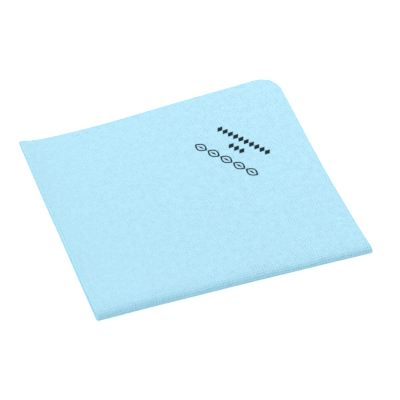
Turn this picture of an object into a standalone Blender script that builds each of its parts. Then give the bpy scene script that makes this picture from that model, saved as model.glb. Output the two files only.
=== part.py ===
"""A folded microfibre cloth: one sheet with rounded corners, folded twice into a flat pad of four layers.

The sheet is modelled as one surface. Each point has a place on the flat sheet, u across it and v along it, both
measured from the middle, where the two folds cross. The first fold brings the half with u < 0 under the other half,
which makes a pair of layers with its fold on the left. The second fold brings the half of that pair with v < 0
underneath, which makes the thick rounded fold in front. From the top, the four layers are then

    1  u > 0, v > 0   the face that shows
    2  u < 0, v > 0
    3  u < 0, v < 0
    4  u > 0, v < 0   the layer that lies on the table

The folded pad has its left fold at x = 0, its front fold near y = 0 and its underside at z = 0, until the last step
moves the middle of its underside to the origin. Sizes are in metres, and +Z is up.
"""
import math
from collections import namedtuple

import bmesh
import bpy

MM = 0.001

# The sheet, laid flat.
SHEET_WIDTH = 380 * MM
SHEET_DEPTH = 350 * MM
SHEET_THICKNESS = 1.0 * MM
CORNER_RADIUS = 15.5 * MM

# The folded pad, measured between the middles of the layers.
LAYER_PITCH = 1.45 * MM
HALF_PITCH = LAYER_PITCH / 2
TOP_LEVEL = 3 * LAYER_PITCH  # the height of layer 1 above layer 4
UPPER_RIGHT_EDGE = 190.6 * MM
UPPER_FAR_EDGE = 172.8 * MM
UNDER_LAYER_STEP = 0.7 * MM  # how far layer 2 stops short of layer 1, and layer 3 short of layer 4
LOWER_PAIR_STEP = 0.9 * MM  # how far the far edges of the lower pair stop short of the upper pair's

# The left fold: the two pairs are level at the front, and the upper one slips outwards towards the far end.
UPPER_PAIR_SLIP = 1.3 * MM
UPPER_SLIP_FROM = 40 * MM
UPPER_SLIP_OVER = 120 * MM
LEFT_TURN = HALF_PITCH * math.pi / 2  # how much of the sheet, on each side of the crease, goes round the left fold
LEFT_RISE = 0.7 * MM
LEFT_RISE_REACH = 8 * MM

# The front fold: a soft shoulder above and a rounder turn below, fuller in some places than in others.
FRONT_RISE = 0.4 * MM
FRONT_RISE_REACH = 24 * MM
SHOULDER_RUN = 3.4 * MM
SHOULDER_RUN_PER_RISE = 1.1
BELOW_RUN = 2.6 * MM
INNER_FOLD_BACK = 0.5 * MM  # how much more than a pitch the inner layer's fold lies behind the outer one
FRONT_TURN = 5 * MM  # how much of the sheet, on each side of the crease, goes round the front fold

Swell = namedtuple("Swell", "place reach rise")
FRONT_SWELLS = (
    Swell(place=0 * MM, reach=16 * MM, rise=0.5 * MM),
    Swell(place=40 * MM, reach=24 * MM, rise=1.9 * MM),
    Swell(place=98 * MM, reach=26 * MM, rise=1.0 * MM),
    Swell(place=157 * MM, reach=12 * MM, rise=0.4 * MM),
)

# The pad's edges: the cut corners by the folds stand out, the far one upwards too, and the right edge and the
# front fold are drawn in along their middles.
FAR_LEFT_RISE = 3.0 * MM
FAR_LEFT_FLARE = 3.2 * MM
FAR_LEFT_REACH = 20 * MM
NEAR_RIGHT_FLARE = 1.5 * MM
NEAR_RIGHT_REACH = 15 * MM
RIGHT_DRAWN_IN = 0.8 * MM
RIGHT_DRAWN_IN_AT = 82 * MM
RIGHT_DRAWN_IN_REACH = 42 * MM
FRONT_DRAWN_IN = 0.6 * MM
FLARE_FADE = 90 * MM

# The pad as a whole: a little out of square, with the layers fanned out at the corner that no fold holds.
FRONT_AND_FAR_SPLAY = 2.2 * MM
SIDES_SPLAY = -0.95 * MM
FREE_CORNER_RISE = 5.4 * MM

# Where the surface has its grid lines, from a crease out to the cut edge.
LEFT_TURN_STEPS = 3
FRONT_TURN_STEPS = 5
CORNER_STEPS = 4
U_STOPS = tuple(stop * MM for stop in (4, 8, 14, 22, 31, 41, 52, 64, 78, 93, 108, 124, 140, 156))
V_STOPS = tuple(stop * MM for stop in (9, 14, 20, 28, 38, 52, 70, 92, 114, 136))

CLOTH_COLOUR = (0.48, 0.80, 0.93, 1.0)
CLOTH_ROUGHNESS = 0.9


def ease(t):
    """0 up to t = 0, 1 from t = 1 on, and a smooth S between them."""
    t = min(max(t, 0.0), 1.0)
    return t * t * (3 - 2 * t)


def swell(distance, reach):
    """A soft bump: 1 at no distance, and about a third at its reach."""
    return math.exp(-((distance / reach) ** 2))


def rounded(u, v):
    """Moves a point of the four corner squares so that the squares' outer sides become quarter circles."""
    across = (abs(u) - (SHEET_WIDTH / 2 - CORNER_RADIUS)) / CORNER_RADIUS
    along = (abs(v) - (SHEET_DEPTH / 2 - CORNER_RADIUS)) / CORNER_RADIUS
    if across <= 0 or along <= 0:
        return u, v
    inset_u = CORNER_RADIUS * across * (1 - math.sqrt(1 - along * along / 2))
    inset_v = CORNER_RADIUS * along * (1 - math.sqrt(1 - across * across / 2))
    return u - math.copysign(inset_u, u), v - math.copysign(inset_v, v)


def front_rise(x):
    """How much fuller than the rest of the pad the front fold is, at x along it."""
    return FRONT_RISE + sum(s.rise * swell(x - s.place, s.reach) for s in FRONT_SWELLS)


def fullness(x, y):
    """How far apart the layers lie at a place in the pad, as a multiple of their pitch in its middle."""
    far = ease((y - (UPPER_FAR_EDGE - FLARE_FADE)) / FLARE_FADE)
    rise = front_rise(x) * swell(max(y, 0.0), FRONT_RISE_REACH)
    rise += LEFT_RISE * swell(x, LEFT_RISE_REACH)
    rise += FAR_LEFT_RISE * math.exp(-max(x, 0.0) / FAR_LEFT_REACH) * far
    return 1 + rise / TOP_LEVEL


def free_corner_rise(x, y, level):
    """How far the pad's free corner lifts a place on the layer of this level: most on top, and none on the table."""
    return FREE_CORNER_RISE * max(x / UPPER_RIGHT_EDGE, 0.0) * max(y / UPPER_FAR_EDGE, 0.0) * ease(level / TOP_LEVEL)


def left_fold(u):
    """The first fold. Gives how far a point lies from the fold, and its height above the middle of its pair.

    The sheet goes round a half circle whose radius is half the pitch, then runs straight to the cut edge.
    """
    angle = min(abs(u) / HALF_PITCH, math.pi / 2)
    height = math.copysign(HALF_PITCH * math.sin(angle), u)
    if abs(u) <= LEFT_TURN:
        return HALF_PITCH * (1 - math.cos(angle)), height
    edge = UPPER_RIGHT_EDGE - (UNDER_LAYER_STEP if u < 0 else 0.0)
    part = (abs(u) - LEFT_TURN) / (SHEET_WIDTH / 2 - LEFT_TURN)
    return HALF_PITCH + (edge - HALF_PITCH) * part, height


def front_fold(x, height, v):
    """The second fold. Gives a point's y, its level above layer 4, and how far it has turned, from -1 to 1.

    The outer layer goes round an ellipse with a long shoulder above and a shorter turn below, and the inner layer
    round a circle. A point between them, in the left fold's own turn, goes round a curve in between. The turn is 1
    in the upper pair, -1 in the lower pair and 0 at the front of the fold.
    """
    angle = min(abs(v) / FRONT_TURN, 1.0) * math.pi / 2
    turned = math.copysign(math.sin(angle), v)
    inner_run = HALF_PITCH * fullness(x, 0.0)
    outer_run = SHOULDER_RUN + SHOULDER_RUN_PER_RISE * front_rise(x) if v > 0 else BELOW_RUN
    outward = (height + HALF_PITCH) / LAYER_PITCH
    run = inner_run + (outer_run - inner_run) * outward
    level = TOP_LEVEL / 2 + (LAYER_PITCH + height) * turned
    y = -height + INNER_FOLD_BACK * (1 - outward) + run * (1 - math.cos(angle))
    if abs(v) > FRONT_TURN:
        edge = UPPER_FAR_EDGE - (LOWER_PAIR_STEP if v < 0 else 0.0)
        y += (edge - y) * (abs(v) - FRONT_TURN) / (SHEET_DEPTH / 2 - FRONT_TURN)
    return y, level, turned


def folded_point(u, v):
    """Where a point of the flat sheet lies in the folded pad."""
    u, v = rounded(u, v)
    x, height = left_fold(u)
    y, level, turned = front_fold(x, height, v)
    z = SHEET_THICKNESS / 2 + level * fullness(x, y) + free_corner_rise(x, y, level)

    across = x / UPPER_RIGHT_EDGE
    back = y / UPPER_FAR_EDGE
    right = ease((x - (UPPER_RIGHT_EDGE - FLARE_FADE)) / FLARE_FADE)
    flare = NEAR_RIGHT_FLARE * math.exp(-max(y, 0.0) / NEAR_RIGHT_REACH)
    right_drawn_in = RIGHT_DRAWN_IN * swell(y - RIGHT_DRAWN_IN_AT, RIGHT_DRAWN_IN_REACH)
    slip = UPPER_PAIR_SLIP * ease((y - UPPER_SLIP_FROM) / UPPER_SLIP_OVER) * (1 - across) * (1 + turned) / 2
    far = ease((y - (UPPER_FAR_EDGE - FLARE_FADE)) / FLARE_FADE)
    left = math.exp(-max(x, 0.0) / FAR_LEFT_REACH)
    front_drawn_in = FRONT_DRAWN_IN * 4 * across * (1 - across) * (1 - back)
    splay = (2 * across - 1) * (2 * back - 1)
    x_moved = x + (flare - right_drawn_in) * right - slip + SIDES_SPLAY * splay
    y_moved = y + FAR_LEFT_FLARE * left * far + front_drawn_in + FRONT_AND_FAR_SPLAY * splay
    return x_moved, y_moved, z


def grid_lines(turn_length, turn_steps, stops, half_size):
    """The grid lines over the whole sheet in one direction, from one cut edge to the other."""
    corner_start = half_size - CORNER_RADIUS
    lines = [turn_length * step / turn_steps for step in range(turn_steps + 1)]
    lines += stops
    lines += [corner_start + CORNER_RADIUS * step / CORNER_STEPS for step in range(CORNER_STEPS + 1)]
    other_side = [-line for line in reversed(lines[1:])]
    return other_side + lines


def cloth_mesh():
    """The middle surface of the folded sheet: a grid whose points are moved to where the folds bring them."""
    u_lines = grid_lines(LEFT_TURN, LEFT_TURN_STEPS, U_STOPS, SHEET_WIDTH / 2)
    v_lines = grid_lines(FRONT_TURN, FRONT_TURN_STEPS, V_STOPS, SHEET_DEPTH / 2)
    columns = len(u_lines) - 1
    rows = len(v_lines) - 1

    surface = bmesh.new()
    bmesh.ops.create_grid(surface, x_segments=columns, y_segments=rows, size=0.5)
    for vert in surface.verts:
        u = u_lines[round((vert.co.x + 0.5) * columns)]
        v = v_lines[round((vert.co.y + 0.5) * rows)]
        vert.co = folded_point(u, v)
    mesh = bpy.data.meshes.new("cloth")
    surface.to_mesh(mesh)
    surface.free()
    mesh.shade_smooth()
    return mesh


def cloth_material():
    """Sky-blue coated knit, matt all over."""
    material = bpy.data.materials.new("cloth")
    material.use_nodes = True
    shader = material.node_tree.nodes["Principled BSDF"]
    shader.inputs["Base Color"].default_value = CLOTH_COLOUR
    shader.inputs["Roughness"].default_value = CLOTH_ROUGHNESS
    shader.inputs["Metallic"].default_value = 0.0
    return material


def centre_on_underside(part):
    """Moves the object so that the middle of the underside of its box is at the origin."""
    evaluated = part.evaluated_get(bpy.context.evaluated_depsgraph_get())
    corners = list(evaluated.bound_box)
    lowest = [min(corner[axis] for corner in corners) for axis in range(3)]
    highest = [max(corner[axis] for corner in corners) for axis in range(3)]
    part.location = (-(lowest[0] + highest[0]) / 2, -(lowest[1] + highest[1]) / 2, -lowest[2])


def main():
    for old in list(bpy.data.objects):
        bpy.data.objects.remove(old, do_unlink=True)

    collection = bpy.data.collections.new("folded_microfibre_cloth")
    bpy.context.scene.collection.children.link(collection)

    cloth = bpy.data.objects.new("cloth", cloth_mesh())
    cloth.data.materials.append(cloth_material())
    collection.objects.link(cloth)

    wall = cloth.modifiers.new("sheet thickness", "SOLIDIFY")
    wall.thickness = SHEET_THICKNESS
    wall.offset = 0.0
    wall.use_even_offset = True
    wall.use_rim = True

    centre_on_underside(cloth)


main()
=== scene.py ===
# A folded microfibre cloth on a plain white table: one thin sheet of coated knit, folded twice,
# with a printed mark.
# The dictionaries of the cloth, the mark, the knit and the ink are in millimetres; those of the stage and
# the camera are in metres, and so are the meshes.
import math

import bpy
import numpy as np
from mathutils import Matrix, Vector


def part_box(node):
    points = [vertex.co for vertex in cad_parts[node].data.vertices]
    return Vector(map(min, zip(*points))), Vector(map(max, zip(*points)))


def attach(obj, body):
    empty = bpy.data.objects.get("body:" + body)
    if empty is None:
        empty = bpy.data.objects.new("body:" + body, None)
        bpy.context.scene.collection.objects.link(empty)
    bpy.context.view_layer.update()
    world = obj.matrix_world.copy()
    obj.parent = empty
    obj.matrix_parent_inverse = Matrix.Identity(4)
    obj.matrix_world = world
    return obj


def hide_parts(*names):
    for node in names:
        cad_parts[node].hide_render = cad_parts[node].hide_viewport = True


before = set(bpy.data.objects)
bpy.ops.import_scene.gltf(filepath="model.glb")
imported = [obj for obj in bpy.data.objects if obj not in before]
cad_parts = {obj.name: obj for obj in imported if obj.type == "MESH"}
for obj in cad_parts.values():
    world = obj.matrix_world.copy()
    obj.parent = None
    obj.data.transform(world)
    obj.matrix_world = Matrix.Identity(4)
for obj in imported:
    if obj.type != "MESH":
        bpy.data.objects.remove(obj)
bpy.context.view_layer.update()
mm = 0.001
print("frame loaded:", ", ".join(sorted(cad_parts)))


def ease(t):
    # 3 t^2 - 2 t^3 between 0 and 1
    t = np.clip(t, 0.0, 1.0)
    return t * t * (3.0 - 2.0 * t)


def swell(distance, reach):
    # e to the power of minus (distance / reach)^2
    return np.exp(-(distance / reach) ** 2)


def dieAway(distance, reach):
    # e to the power of minus distance / reach
    return np.exp(-np.maximum(distance, 0) / reach)


# The folded cloth. u runs across the flat sheet and v along it, both from its middle, where the two
# folds cross. x runs from the left fold and y from the front fold. Level is the height above the lowest
# layer's middle.
cloth = {
    "width": 380.0,
    "depth": 350.0,
    "thickness": 1.0,
    "cornerRadius": 15.5,
    "pitch": 1.45,  # from the middle of one layer to the middle of the next
    "rightEdge": 190.6,  # x of the cut edges at the right
    "farEdge": 172.8,  # y of the cut edges at the far side
    "underStep": 0.7,  # how far the under layers stop short at the right
    "lowerStep": 0.9,  # how far the lower pair stops short at the far side
    "upperSlip": 1.3,  # how far the upper pair slips outwards at the left fold, towards the far end
    "upperSlipFrom": -30.0,
    "upperSlipOver": 190.0,
    "leftRise": 0.7,  # how much fuller the pad is at the left fold
    "leftReach": 8.0,
    "frontRise": 0.5,  # how much fuller it is at the front fold
    "frontReach": 24.0,
    "frontTurn": 5.0,  # how much of the sheet on each side of the crease goes round the front fold
    "shoulderRun": 3.8,  # how far back the outer layer's turn goes above the front fold
    "shoulderRunPerRise": 0.5,
    "belowRun": 2.6,  # and below it
    "innerFoldBack": 0.5,  # how much more than a pitch the inner layer's turn lies behind the outer one's
    "farLeftRise": 3.0,  # the far end of the left fold stands up and out
    "farLeftFlare": 3.2,
    "farLeftReach": 20.0,
    "nearRightFlare": 1.5,  # the right end of the front fold stands out
    "nearRightReach": 15.0,
    "rightDrawnIn": 0.8,  # the right edge is drawn in along its middle
    "rightDrawnInAt": 82.0,
    "rightDrawnInReach": 42.0,
    "frontDrawnIn": 0.6,  # and so is the front fold
    "flareFade": 90.0,  # how far before a cut edge these begin
    "frontSplay": 2.2,  # the pad is a little out of square
    "sideSplay": -0.95,
    "freeCornerRise": 5.4,  # the layers fan out at the corner that no fold holds
    "edgeBevel": 0.18,  # how far the cut edge is rounded over
    "edgeProbe": 0.05,  # a short way past the cut edge, to find its outward direction
    "slopeProbe": 0.02,  # a short way along the sheet, to find its slope
    # Where the front fold is fuller: place along it, reach, rise.
    "frontSwells": [
        (8.0, 10.0, 0.4),
        (36.0, 26.0, 2.2),
        (98.0, 28.0, 1.1),
        (150.0, 20.0, 0.3),
        (159.0, 8.0, 0.3),
    ],
    # Soft lines pressed into the upper layers: from x, y, to x, y, half width, height; below zero, a trough.
    "creases": [
        ((1.6, -6.0), (2.7, 136.0), 0.50, -0.26),
        ((2.8, -4.0), (3.5, 60.0), 0.60, 0.10),
        ((3.9, -4.0), (4.8, 50.0), 0.60, -0.13),
        ((5.3, -2.0), (6.5, 44.0), 0.80, 0.08),
        ((4.4, 132.0), (5.0, 176.0), 1.20, 0.20),
    ],
    "creaseFade": 0.25,  # the share of its length over which a crease fades in, and out again
    # Long, low waves in the layers: direction in degrees, length, start in degrees, height.
    "waves": [(24.0, 83.0, 40.0, 0.10), (-52.0, 57.0, 130.0, 0.08), (81.0, 101.0, 210.0, 0.10)],
    # The mesh's lines from a crease to the cut edge: how far each stretch goes, and its steps.
    "acrossLines": [(1.139, 6), (12.0, 14), (174.5, 76), (189.5, 8), (190.0, 1)],
    "alongLines": [(5.0, 13), (9.0, 6), (20.0, 7), (159.5, 64), (174.5, 8), (175.0, 1)],
}
halfPitch = cloth["pitch"] / 2
topLevel = 3 * cloth["pitch"]  # four layers, a pitch apart
halfWidth = cloth["width"] / 2
halfDepth = cloth["depth"] / 2


def roundedCorners(u, v):
    # With s and t from 0 to 1 over a corner square: u moves in by r s (1 - sqrt(1 - t^2 / 2)), v likewise.
    radius = cloth["cornerRadius"]
    s = np.clip((np.abs(u) - halfWidth + radius) / radius, 0.0, None)
    t = np.clip((np.abs(v) - halfDepth + radius) / radius, 0.0, None)
    roundU = u - np.sign(u) * radius * s * (1 - np.sqrt(1 - t * t / 2))
    roundV = v - np.sign(v) * radius * t * (1 - np.sqrt(1 - s * s / 2))
    return roundU, roundV


def frontRise(x):
    # the front fold's rise plus each swell, rise * e^-((x - place) / reach)^2
    swells = sum(rise * swell(x - place, reach) for place, reach, rise in cloth["frontSwells"])
    return cloth["frontRise"] + swells


def nearEdge(place, edge):
    # 0 where the fade before a cut edge begins, 1 at the edge, eased between
    return ease((place - edge + cloth["flareFade"]) / cloth["flareFade"])


def fullness(x, y):
    # how many times wider than the pitch the layers stand apart: 1 + all rises / top level
    rise = frontRise(x) * swell(np.maximum(y, 0), cloth["frontReach"])
    rise = rise + cloth["leftRise"] * swell(x, cloth["leftReach"])
    farLeft = dieAway(x, cloth["farLeftReach"]) * nearEdge(y, cloth["farEdge"])
    return 1 + (rise + cloth["farLeftRise"] * farLeft) / topLevel


def leftFold(u):
    # a half circle of radius half a pitch, x = r (1 - cos a), height = r sin a, then straight on to the edge
    angle = np.minimum(np.abs(u) / halfPitch, math.pi / 2)
    height = np.sign(u) * halfPitch * np.sin(angle)
    turnLength = halfPitch * math.pi / 2
    edge = np.where(u < 0, cloth["rightEdge"] - cloth["underStep"], cloth["rightEdge"])
    part = np.maximum(np.abs(u) - turnLength, 0) / (halfWidth - turnLength)
    return halfPitch * (1 - np.cos(angle)) + (edge - halfPitch) * part, height


def frontFold(x, height, v):
    # the outer layer turns on an ellipse, y = run (1 - cos a), level = middle +- (pitch + height) sin a,
    # and the inner layer on a circle; then straight on to the far edge
    angle = np.minimum(np.abs(v) / cloth["frontTurn"], 1) * math.pi / 2
    turned = np.sign(v) * np.sin(angle)
    innerRun = halfPitch * fullness(x, 0.0)
    shoulder = cloth["shoulderRun"] + cloth["shoulderRunPerRise"] * frontRise(x)
    outerRun = np.where(v > 0, shoulder, cloth["belowRun"])
    outward = (height + halfPitch) / cloth["pitch"]
    run = innerRun + (outerRun - innerRun) * outward
    level = topLevel / 2 + (cloth["pitch"] + height) * turned
    y = -height + cloth["innerFoldBack"] * (1 - outward) + run * (1 - np.cos(angle))
    edge = np.where(v < 0, cloth["farEdge"] - cloth["lowerStep"], cloth["farEdge"])
    part = np.maximum(np.abs(v) - cloth["frontTurn"], 0) / (halfDepth - cloth["frontTurn"])
    return y + (edge - y) * part, level, turned


def creaseHeight(x, y):
    # each crease: height * e^-(distance / width)^2 * an ease in and out at its ends
    fade = cloth["creaseFade"]
    total = np.zeros_like(x)
    for start, end, width, height in cloth["creases"]:
        alongX, alongY = end[0] - start[0], end[1] - start[1]
        length = math.hypot(alongX, alongY)
        part = ((x - start[0]) * alongX + (y - start[1]) * alongY) / length ** 2
        distance = ((x - start[0]) * alongY - (y - start[1]) * alongX) / length
        total += height * swell(distance, width) * ease(part / fade) * ease((1 - part) / fade)
    return total


def waveHeight(x, y):
    # each wave: height * sin(distance along its direction * 360 degrees / length + start)
    total = np.zeros_like(x)
    for direction, length, start, height in cloth["waves"]:
        turn = math.radians(direction)
        distance = x * math.cos(turn) + y * math.sin(turn)
        total += height * np.sin(distance * 2 * math.pi / length + math.radians(start))
    return total


def foldedPoint(u, v):
    # flat place to folded place: the two folds in turn, then the rises, flares, slip and splay of the pad;
    # with a from 0 to 1 along it, the front fold is drawn in by 4 a (1 - a)
    x, height = leftFold(u)
    y, level, turned = frontFold(x, height, v)
    across = x / cloth["rightEdge"]
    back = y / cloth["farEdge"]
    z = cloth["thickness"] / 2 + level * fullness(x, y)
    free = cloth["freeCornerRise"] * np.maximum(across, 0) * np.maximum(back, 0)
    z = z + ease(level / topLevel) * (free + creaseHeight(x, y) + waveHeight(x, y))

    flare = cloth["nearRightFlare"] * dieAway(y, cloth["nearRightReach"])
    rightDrawnIn = cloth["rightDrawnIn"] * swell(y - cloth["rightDrawnInAt"], cloth["rightDrawnInReach"])
    slip = cloth["upperSlip"] * ease((y - cloth["upperSlipFrom"]) / cloth["upperSlipOver"])
    slip = slip * (1 - across) * (1 + turned) / 2
    farLeft = cloth["farLeftFlare"] * dieAway(x, cloth["farLeftReach"]) * nearEdge(y, cloth["farEdge"])
    frontDrawnIn = cloth["frontDrawnIn"] * 4 * across * (1 - across) * (1 - back)
    splay = (2 * across - 1) * (2 * back - 1)
    right = (flare - rightDrawnIn) * nearEdge(x, cloth["rightEdge"])
    movedX = x + right - slip + cloth["sideSplay"] * splay
    movedY = y + farLeft + frontDrawnIn + cloth["frontSplay"] * splay
    return np.stack([movedX, movedY, z], axis=-1)


def unit(vectors):
    # each vector divided by its length
    return vectors / np.linalg.norm(vectors, axis=-1, keepdims=True)


def sheetNormals(u, v):
    # the cross product of the folded surface's slopes across and along
    step = cloth["slopeProbe"]
    across = foldedPoint(u + step, v) - foldedPoint(u - step, v)
    along = foldedPoint(u, v + step) - foldedPoint(u, v - step)
    return unit(np.cross(across, along))


def meshLines(stretches):
    # even steps over each stretch from the crease out, and the same again on its other side
    half = [0.0]
    for end, steps in stretches:
        half.extend(np.linspace(half[-1], end, steps + 1)[1:])
    half = np.array(half)
    return np.concatenate([-half[:0:-1], half])


def runningLength(points, lines, axis):
    # the length of the folded sheet from its crease to each line, counted along the other axis's lines
    steps = np.linalg.norm(np.diff(points, axis=axis), axis=-1)
    length = np.insert(np.cumsum(steps, axis=axis), 0, 0.0, axis=axis)
    return length - np.take(length, [len(lines) // 2], axis=axis)


def gridFaces(columns, rows):
    # four corners of each cell of a grid, whose points are counted row by row within each column
    corner = np.arange((columns - 1) * rows).reshape(columns - 1, rows)[:, :-1].ravel()
    return np.stack([corner, corner + rows, corner + rows + 1, corner + 1], axis=-1)


def rimOf(columns, rows):
    # the grid's outer points in order, anticlockwise as seen from its outer side
    index = np.arange(columns * rows).reshape(columns, rows)
    return np.concatenate([index[:-1, 0], index[-1, :-1], index[:0:-1, -1], index[0, :0:-1]])


def newPiece(name, points, faces, flat, outer=None):
    # a mesh object from points in millimetres; its map is each point's place on the flat sheet, and outer,
    # if given, is 1 on the sheet's outer side and 0 on its inner side
    mesh = bpy.data.meshes.new(name)
    mesh.from_pydata(((points + padShift) * mm).tolist(), [], faces.tolist())
    corners = np.empty(len(mesh.loops), dtype=np.int32)
    mesh.loops.foreach_get("vertex_index", corners)
    flatMap = mesh.uv_layers.new(name="flatSheet")
    flatMap.data.foreach_set("uv", (flat[corners] * mm).astype(np.float32).ravel())
    if outer is not None:
        side = mesh.attributes.new("outerSide", "FLOAT", "POINT")
        side.data.foreach_set("value", outer.astype(np.float32))
    mesh.shade_smooth()
    mesh.update()
    piece = bpy.data.objects.new(name, mesh)
    bpy.context.scene.collection.objects.link(piece)
    return piece


def clothSurfaces():
    # points, faces, flat places and sides of a closed sheet: middle surface +- half the thickness along
    # its normal, and a rounded band round the cut edge
    lineU = meshLines(cloth["acrossLines"])
    lineV = meshLines(cloth["alongLines"])
    plainU, plainV = np.meshgrid(lineU, lineV, indexing="ij")
    u, v = roundedCorners(plainU, plainV)
    columns, rows = u.shape
    plain = foldedPoint(plainU, plainV)
    flat = np.stack([
        runningLength(plain, lineU, 0) + u - plainU,
        runningLength(plain, lineV, 1) + v - plainV,
    ], axis=-1).reshape(-1, 2)
    middle = foldedPoint(u, v).reshape(-1, 3)
    normal = sheetNormals(u, v).reshape(-1, 3)
    half = cloth["thickness"] / 2
    upper = middle + normal * half
    under = middle - normal * half

    rim = rimOf(columns, rows)
    flatRim = np.stack([u.ravel()[rim], v.ravel()[rim]], axis=-1)
    travel = unit(np.roll(flatRim, -1, axis=0) - np.roll(flatRim, 1, axis=0))
    beyond = flatRim + cloth["edgeProbe"] * np.stack([travel[:, 1], -travel[:, 0]], axis=-1)
    outward = unit(foldedPoint(beyond[:, 0], beyond[:, 1]) - middle[rim])
    bevel = cloth["edgeBevel"]
    upper[rim] -= outward * bevel
    under[rim] -= outward * bevel
    shoulder = middle[rim] + normal[rim] * (half - bevel)
    lip = middle[rim] - normal[rim] * (half - bevel)

    count = columns * rows
    outerFaces = gridFaces(columns, rows)
    innerFaces = outerFaces[:, ::-1] + count
    ring = 2 * count + np.arange(len(rim))
    bands = [rim, ring, ring + len(rim), rim + count]
    edgeFaces = [
        np.stack([high, low, np.roll(low, -1), np.roll(high, -1)], axis=-1)
        for high, low in zip(bands[:-1], bands[1:])
    ]
    points = np.concatenate([upper, under, shoulder, lip])
    faces = np.concatenate([outerFaces, innerFaces, *edgeFaces])
    flatAll = np.concatenate([flat, flat, flat[rim], flat[rim]])
    outer = np.concatenate([np.ones(count), np.zeros(count), np.ones(len(rim)), np.zeros(len(rim))])
    return points, faces, flatAll, outer


# The solid in the frame has the same folds, so its box says where the folded sheet goes
clothPoints, clothFaces, clothFlat, clothOuter = clothSurfaces()
boxLow, boxHigh = (np.array(corner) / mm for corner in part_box("cloth"))
padShift = (boxLow + boxHigh - clothPoints.min(axis=0) - clothPoints.max(axis=0)) / 2
padShift[2] = boxLow[2] - clothPoints[:, 2].min()
foldedCloth = newPiece("foldedCloth", clothPoints, clothFaces, clothFlat, clothOuter)
print("cloth folded:", len(foldedCloth.data.polygons), "faces")


# The printed mark: two rows of small solid lozenges over a row of plain leaves, drawn in outline with a rib.
mark = {
    "middle": (147.2, 122.9),  # across and along the sheet, for the long row's middle
    "direction": -54.0,  # degrees, from across the sheet to the rows' own direction
    "lift": 0.02,  # from the sheet's face to the film's top
    "filmDepth": 0.06,
    "longRow": {"count": 10, "pitch": 4.4, "below": 0.0, "width": 4.1, "height": 6.3},
    "shortRow": {"count": 3, "pitch": 4.4, "below": 9.0, "width": 4.1, "height": 6.3},
    "leafRow": {"count": 5, "pitch": 10.6, "below": 21.7, "width": 10.2, "height": 7.0},
    "leafLine": 1.05,  # the width of a leaf's outline
    "leafRib": (5.6, 1.5),  # the width and height of the rib in its middle
}


def lozenge(width, height, steps=3):
    # a square grid turned on its corner: x = (p + q) / 2 * width / 2, y = (q - p) / 2 * height / 2
    p, q = np.meshgrid(np.linspace(-1, 1, steps), np.linspace(-1, 1, steps), indexing="ij")
    points = np.stack([(p + q) * width / 4, (q - p) * height / 4], axis=-1).reshape(-1, 2)
    return points, gridFaces(steps, steps)


def leaf(width, height, line, steps=12):
    # two arcs y = +-height / 2 * (1 - (x / half width)^2), and the same outline drawn smaller inside
    x = np.cos(np.arange(2 * steps) * math.pi / steps)
    y = np.where(np.arange(2 * steps) < steps, 1, -1) * (1 - x * x)
    outline = np.stack([x * width / 2, y * height / 2], axis=-1)
    points = np.concatenate([outline, outline * (1 - 2 * line / height)])
    near = np.arange(len(outline))
    far = np.roll(near, -1)
    return points, np.stack([near, far, far + len(outline), near + len(outline)], axis=-1)


def rowOf(shape, row):
    # copies of a shape along the row, each a pitch further on
    points, faces = shape
    places = (np.arange(row["count"]) - (row["count"] - 1) / 2) * row["pitch"]
    centres = np.stack([places, np.full(row["count"], -row["below"])], axis=-1)
    allPoints = (centres[:, None] + points[None]).reshape(-1, 2)
    allFaces = (np.arange(row["count"])[:, None, None] * len(points) + faces[None]).reshape(-1, 4)
    return allPoints, allFaces


def makeMark():
    # every row drawn flat, turned to the mark's direction, moved to its place and folded with the sheet:
    # u = middle + x cos - y sin, v = middle + x sin + y cos
    solidRows = mark["longRow"], mark["shortRow"]
    rows = [rowOf(lozenge(row["width"], row["height"]), row) for row in solidRows]
    leaves = mark["leafRow"]
    rows.append(rowOf(lozenge(*mark["leafRib"]), leaves))
    rows.append(rowOf(leaf(leaves["width"], leaves["height"], mark["leafLine"]), leaves))
    starts = np.cumsum([0] + [len(points) for points, _ in rows])
    drawn = np.concatenate([points for points, _ in rows])
    faces = np.concatenate([shape + start for (_, shape), start in zip(rows, starts)])
    turn = math.radians(mark["direction"])
    u = mark["middle"][0] + drawn[:, 0] * math.cos(turn) - drawn[:, 1] * math.sin(turn)
    v = mark["middle"][1] + drawn[:, 0] * math.sin(turn) + drawn[:, 1] * math.cos(turn)
    points = foldedPoint(u, v) + sheetNormals(u, v) * (cloth["thickness"] / 2 + mark["lift"])
    piece = newPiece("printedMark", points, faces, np.stack([u, v], axis=-1))
    film = piece.modifiers.new("film", "SOLIDIFY")
    film.thickness = mark["filmDepth"] * mm
    film.offset = -1.0  # downwards from its top
    return piece


printedMark = makeMark()
print("mark printed")


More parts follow.
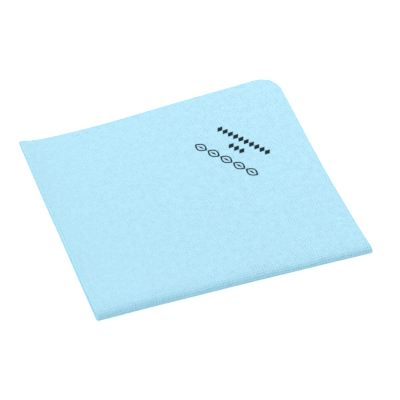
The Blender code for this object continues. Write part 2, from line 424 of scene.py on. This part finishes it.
# The knit: stitches that show through a thin coat
knit = {
    "waleGap": 1.79,  # from one column of stitches to the next
    "courseGap": 1.6,  # from one row of stitches to the next
    "waver": 2.4,  # how far the rows and columns wander
    # The noises: the length of one blotch, its detail and its roughness. A patch is where the pores show more
    # or less, a fleck is a small dark spot, and the mottle is in the colour and the roughness.
    "noises": {
        "waver": (14.0, 3.0, 0.5),
        "patch": (5.0, 2.0, 0.5),
        "fibre": (0.5, 3.0, 0.6),
        "lump": (3.0, 2.0, 0.5),
        "fleck": (1.3, 2.0, 0.5),
        "mottle": (3.6, 4.0, 0.7),
    },
    "noiseRange": (0.35, 0.65),  # where most of a noise's values lie
    # The coat is thicker on the left: from and to where it thins, and the share of the pores that shows.
    "coatThins": (25.0, 115.0, 0.5, 1.05),
    # Near the folds the pores show more, deeper and with more painted shade in them: how far from the crease
    # wholly and at all, and how much more the pores show there.
    "frontPoresShown": (4.0, 17.0, 0.62),
    "leftPoresShown": (1.0, 8.0, 0.35),
    "relief": 0.2,  # the bump's height
    "heights": {"fibre": 0.7, "lump": 1.6, "groove": -0.12, "pore": -0.9},  # shares of the relief
    "colour": (0.459, 0.768, 0.880),
    "poreShadeAndFleckColour": (0.30, 0.60, 0.76),  # painted shade in the pores, and the flecks' own darker colour
    "poreShadeShare": 0.5,
    "poreRange": (0.6, 1.9),  # the waves' sum where a pore begins and where it is deepest
    "poresShown": (0.2, 1.1),  # from where they show least to where they show most
    "fleckShare": 0.75,
    "fleckRange": (0.56, 0.76),
    "mottle": 0.03,
    "coreColour": (0.34, 0.62, 0.75),  # the fibres bared at the cut edge
    "coreShare": 0.7,
    "coreRange": (1.0, 0.4),  # from where the core begins to show to where it shows wholly
    "roughness": (0.79, 0.85),  # from the mottle's dark spots to its light ones
    "sheen": 0.12,
    "sheenRoughness": 0.4,
    "gloss": 0.3,
}


def calc(nodes, links, operation, *inputs):
    # one Math node; each input is a number or another node's output
    node = nodes.new("ShaderNodeMath")
    node.operation = operation
    for socket, value in zip(node.inputs, inputs):
        if isinstance(value, bpy.types.NodeSocket):
            links.new(value, socket)
        else:
            socket.default_value = value
    return node.outputs[0]


def stretched(nodes, links, value, fromLow, fromHigh, toLow, toHigh, kind="LINEAR"):
    # one Map Range node, which goes no further than the two ends
    node = nodes.new("ShaderNodeMapRange")
    node.interpolation_type = kind
    links.new(value, node.inputs["Value"])
    limits = {"From Min": fromLow, "From Max": fromHigh, "To Min": toLow, "To Max": toHigh}
    for name, number in limits.items():
        node.inputs[name].default_value = number
    return node.outputs["Result"]


def noise(nodes, links, vector, size, detail, roughness):
    # a Noise Texture whose scale is 1 / size
    node = nodes.new("ShaderNodeTexNoise")
    links.new(vector, node.inputs["Vector"])
    node.inputs["Scale"].default_value = 1 / (size * mm)
    node.inputs["Detail"].default_value = detail
    node.inputs["Roughness"].default_value = roughness
    return node.outputs["Fac"]


def newMaterial(name):
    # a node material and the parts that the others need, with each point's place on the flat sheet
    material = bpy.data.materials.new(name)
    material.use_nodes = True
    tree = material.node_tree
    flatMap = tree.nodes.new("ShaderNodeUVMap")
    flatMap.uv_map = "flatSheet"
    return material, tree.nodes, tree.links, tree.nodes["Principled BSDF"], flatMap.outputs["UV"]


def knitPattern(nodes, links, flat):
    # columns of stitches with a groove between, cos(2 pi u / wale gap), and a pore in the groove at each
    # row, where cos(2 pi u / wale gap) + cos(2 pi v / course gap) is near 2; u and v wander with a soft
    # noise, and lumps and fibres are noises of their own
    noises = knit["noises"]
    place = nodes.new("ShaderNodeSeparateXYZ")
    links.new(flat, place.inputs[0])
    soft = noise(nodes, links, flat, *noises["waver"])
    wander = stretched(nodes, links, soft, 0.0, 1.0, 0.0, knit["waver"] * mm)
    wavyU = calc(nodes, links, "ADD", place.outputs["X"], wander)
    wavyV = calc(nodes, links, "SUBTRACT", place.outputs["Y"], wander)
    across = calc(nodes, links, "MULTIPLY", wavyU, 2 * math.pi / (knit["waleGap"] * mm))
    along = calc(nodes, links, "MULTIPLY", wavyV, 2 * math.pi / (knit["courseGap"] * mm))
    waleWave = calc(nodes, links, "COSINE", across)
    courseWave = calc(nodes, links, "COSINE", along)
    lattice = calc(nodes, links, "ADD", waleWave, courseWave)
    pore = stretched(nodes, links, lattice, *knit["poreRange"], 0.0, 1.0, "SMOOTHSTEP")
    patchy = noise(nodes, links, flat, *noises["patch"])
    shown = stretched(nodes, links, patchy, *knit["noiseRange"], *knit["poresShown"])
    left, right, least, most = knit["coatThins"]
    thin = stretched(nodes, links, place.outputs["X"], left * mm, right * mm, least, most)
    shown = calc(nodes, links, "MULTIPLY", shown, thin)
    # near the folds the pores show more: their relief is deeper and their painted shade darker
    nearFoldShares = []
    for axis, (near, far, more) in (("Y", knit["frontPoresShown"]), ("X", knit["leftPoresShown"])):
        distance = calc(nodes, links, "ABSOLUTE", place.outputs[axis])
        nearFoldShares.append(stretched(nodes, links, distance, near * mm, far * mm, more, 0.0, "SMOOTHSTEP"))
    nearFold = calc(nodes, links, "MAXIMUM", *nearFoldShares)
    pore = calc(nodes, links, "MULTIPLY", pore, calc(nodes, links, "ADD", shown, nearFold))
    fibre = noise(nodes, links, flat, *noises["fibre"])
    lump = noise(nodes, links, flat, *noises["lump"])
    parts = {"fibre": fibre, "lump": lump, "groove": waleWave, "pore": pore}
    height = 0.0
    for name, part in parts.items():
        height = calc(nodes, links, "MULTIPLY_ADD", part, knit["heights"][name], height)
    return pore, height


def bumped(nodes, links, shader, height, relief):
    # one Bump node, whose full height is the relief in millimetres
    bump = nodes.new("ShaderNodeBump")
    bump.inputs["Strength"].default_value = 1.0
    bump.inputs["Distance"].default_value = relief * mm
    links.new(height, bump.inputs["Height"])
    links.new(bump.outputs["Normal"], shader.inputs["Normal"])


def mixedColour(nodes, links, share, first, second):
    # one Mix node: the first colour where the share is 0 and the second where it is 1
    node = nodes.new("ShaderNodeMix")
    node.data_type = "RGBA"
    links.new(share, node.inputs["Factor"])
    for name, value in (("A", first), ("B", second)):
        socket = [s for s in node.inputs if s.name == name and s.type == "RGBA"][0]
        if isinstance(value, bpy.types.NodeSocket):
            links.new(value, socket)
        else:
            socket.default_value = (*value, 1.0)
    return [s for s in node.outputs if s.type == "RGBA"][0]


def knitMaterial():
    # the pores are darker with painted shade, the flecks are darker spots of the knit's own, the cut edge
    # shows its core, and the whole is lightly mottled
    material, nodes, links, shader, flat = newMaterial("coatedKnit")
    pore, height = knitPattern(nodes, links, flat)
    speckle = noise(nodes, links, flat, *knit["noises"]["fleck"])
    fleck = stretched(nodes, links, speckle, *knit["fleckRange"], 0.0, 1.0, "SMOOTHSTEP")
    # darker in the pores as painted shade in their pits, and in the flecks as the knit's own tone
    dark = calc(nodes, links, "MULTIPLY", pore, knit["poreShadeShare"])
    dark = calc(nodes, links, "MULTIPLY_ADD", fleck, knit["fleckShare"], dark)
    colour = mixedColour(nodes, links, dark, knit["colour"], knit["poreShadeAndFleckColour"])
    # outerSide goes from 1 to 0 over the cut edge, so 1 - |2 outerSide - 1| is high there alone
    side = nodes.new("ShaderNodeAttribute")
    side.attribute_name = "outerSide"
    fromMiddle = calc(nodes, links, "MULTIPLY_ADD", side.outputs["Fac"], 2.0, -1.0)
    fromMiddle = calc(nodes, links, "ABSOLUTE", fromMiddle)
    core = stretched(nodes, links, fromMiddle, *knit["coreRange"], 0.0, knit["coreShare"])
    colour = mixedColour(nodes, links, core, colour, knit["coreColour"])
    mottle = noise(nodes, links, flat, *knit["noises"]["mottle"])
    light = stretched(nodes, links, mottle, *knit["noiseRange"], 1 - knit["mottle"], 1 + knit["mottle"])
    hue = nodes.new("ShaderNodeHueSaturation")
    links.new(colour, hue.inputs["Color"])
    links.new(light, hue.inputs["Value"])
    links.new(hue.outputs["Color"], shader.inputs["Base Color"])
    rough = stretched(nodes, links, mottle, *knit["noiseRange"], *knit["roughness"])
    links.new(rough, shader.inputs["Roughness"])
    shader.inputs["Sheen Weight"].default_value = knit["sheen"]
    shader.inputs["Sheen Roughness"].default_value = knit["sheenRoughness"]
    shader.inputs["Specular IOR Level"].default_value = knit["gloss"]
    bumped(nodes, links, shader, height, knit["relief"])
    return material


# The ink, thinner where the stitches open
ink = {
    "colour": (0.002, 0.014, 0.020),
    "wornColour": (0.03, 0.09, 0.12),
    "wornShare": 0.2,
    "wornNoise": (0.8, 2.0, 0.5),
    "roughness": 0.8,
    "gloss": 0.15,
}


def inkMaterial():
    # the knit's own relief, in a dark ink that is paler where pores and wear thin it
    material, nodes, links, shader, flat = newMaterial("printInk")
    pore, height = knitPattern(nodes, links, flat)
    thin = noise(nodes, links, flat, *ink["wornNoise"])
    share = calc(nodes, links, "MULTIPLY", calc(nodes, links, "ADD", pore, thin), ink["wornShare"])
    colour = mixedColour(nodes, links, share, ink["colour"], ink["wornColour"])
    links.new(colour, shader.inputs["Base Color"])
    shader.inputs["Roughness"].default_value = ink["roughness"]
    shader.inputs["Specular IOR Level"].default_value = ink["gloss"]
    bumped(nodes, links, shader, height, knit["relief"])
    return material


foldedCloth.data.materials.append(knitMaterial())
printedMark.data.materials.append(inkMaterial())
print("materials made")


# The table, sky and lamp
stageSet = {
    "tableSize": 12.0,
    "tableAside": 1.0,  # how far its middle lies to the right, so that no seam of its faces is underneath
    "tableGap": 0.00005,  # how far it lies below the cloth, so that the two surfaces don't touch
    "tableSeen": (0.30, 0.86),  # as the camera sees it: the share of light that it scatters, and its own glow
    "tableBounce": (0.35, 0.38),  # the same as it lights the cloth
    "tableGlowColour": (0.96, 1.05, 1.14),
    "brightSide": (-0.99, -0.12, 0.0),  # the sky is bright on the left and dim on the right
    "brightSky": (1.18, 1.32, 1.42),
    "dimSky": (0.30, 0.35, 0.37),
    "lampSize": 0.5,
    "lampPlace": (0.72, 0.80, 1.0),
    "lampColour": (1.0, 0.74, 0.66),
    "lampPower": 10.8,  # in watts
}


def makeTable():
    # one square that scatters light and glows, in one measure for the camera and in another for the cloth
    half = stageSet["tableSize"] / 2
    mesh = bpy.data.meshes.new("table")
    left, right = stageSet["tableAside"] - half, stageSet["tableAside"] + half
    low = -stageSet["tableGap"]
    corners = [(left, -half, low), (right, -half, low), (right, half, low), (left, half, low)]
    mesh.from_pydata(corners, [], [(0, 1, 2, 3)])
    table = bpy.data.objects.new("table", mesh)
    bpy.context.scene.collection.objects.link(table)
    material = bpy.data.materials.new("tableTop")
    material.use_nodes = True
    nodes, links = material.node_tree.nodes, material.node_tree.links
    shader = nodes["Principled BSDF"]
    seen = nodes.new("ShaderNodeLightPath").outputs["Is Camera Ray"]
    scatterSeen, glowSeen = stageSet["tableSeen"]
    scatterBounce, glowBounce = stageSet["tableBounce"]
    scatter = mixedColour(nodes, links, seen, (scatterBounce,) * 3, (scatterSeen,) * 3)
    glow = stretched(nodes, links, seen, 0.0, 1.0, glowBounce, glowSeen)
    links.new(scatter, shader.inputs["Base Color"])
    links.new(glow, shader.inputs["Emission Strength"])
    shader.inputs["Emission Color"].default_value = (*stageSet["tableGlowColour"], 1.0)
    shader.inputs["Roughness"].default_value = 1.0
    shader.inputs["Specular IOR Level"].default_value = 0.0
    # clear from below, so that the underside shows there
    clear = nodes.new("ShaderNodeBsdfTransparent")
    side = nodes.new("ShaderNodeMixShader")
    links.new(nodes.new("ShaderNodeNewGeometry").outputs["Backfacing"], side.inputs[0])
    links.new(shader.outputs["BSDF"], side.inputs[1])
    links.new(clear.outputs["BSDF"], side.inputs[2])
    links.new(side.outputs["Shader"], nodes["Material Output"].inputs["Surface"])
    mesh.materials.append(material)
    return table


def makeSky():
    # from dim to bright as the direction turns towards the bright side: their dot product
    world = bpy.data.worlds.new("studio")
    bpy.context.scene.world = world
    world.use_nodes = True
    nodes, links = world.node_tree.nodes, world.node_tree.links
    direction = nodes.new("ShaderNodeTexCoord").outputs["Generated"]
    facing = nodes.new("ShaderNodeVectorMath")
    facing.operation = "DOT_PRODUCT"
    links.new(direction, facing.inputs[0])
    facing.inputs[1].default_value = stageSet["brightSide"]
    share = stretched(nodes, links, facing.outputs["Value"], -1.0, 1.0, 0.0, 1.0)
    colour = mixedColour(nodes, links, share, stageSet["dimSky"], stageSet["brightSky"])
    links.new(colour, nodes["Background"].inputs["Color"])


def makeLamp():
    # a square lamp that shines from its place towards the origin, and isn't seen itself
    light = bpy.data.lights.new("softBox", "AREA")
    light.shape = "SQUARE"
    light.size = stageSet["lampSize"]
    light.color = stageSet["lampColour"]
    light.energy = stageSet["lampPower"]
    lamp = bpy.data.objects.new("softBox", light)
    lamp.location = stageSet["lampPlace"]
    lamp.rotation_euler = (-Vector(stageSet["lampPlace"])).to_track_quat("-Z", "Y").to_euler()
    lamp.visible_camera = False
    bpy.context.scene.collection.objects.link(lamp)


photoView = {
    "turn": -20.0,  # degrees round the upright, to the left of the front
    "height": 45.58,  # degrees above the table
    "distance": 2.0,  # from the point that it looks at
    "pixelsPerMetre": 1455.3,  # at that point
    "imagePixels": 400,
    "lookAt": (0.00550, -0.00066, 0.0),  # the point in the middle of the picture
    "sensorWidth": 36.0,  # in millimetres, as the lens is
    "sight": 50.0,  # how far it sees
}


def makeCamera():
    # lens = distance / the width that the photo shows at the cloth * the sensor's width
    turn, height = math.radians(photoView["turn"]), math.radians(photoView["height"])
    back = Vector((math.sin(turn) * math.cos(height), -math.cos(turn) * math.cos(height), math.sin(height)))
    data = bpy.data.cameras.new("photoCamera")
    data.sensor_width = photoView["sensorWidth"]
    widthSeen = photoView["imagePixels"] / photoView["pixelsPerMetre"]
    data.lens = photoView["distance"] / widthSeen * data.sensor_width
    data.clip_end = photoView["sight"]
    camera = bpy.data.objects.new("photoCamera", data)
    camera.location = Vector(photoView["lookAt"]) + back * photoView["distance"]
    camera.rotation_euler = (-back).to_track_quat("-Z", "Y").to_euler()
    bpy.context.scene.collection.objects.link(camera)
    bpy.context.scene.camera = camera


tableTop = makeTable()
makeSky()
makeLamp()
makeCamera()
bpy.context.scene.view_settings.view_transform = "Standard"
print("table, lights and camera set")

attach(foldedCloth, "root")
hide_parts("cloth")
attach(printedMark, "root")
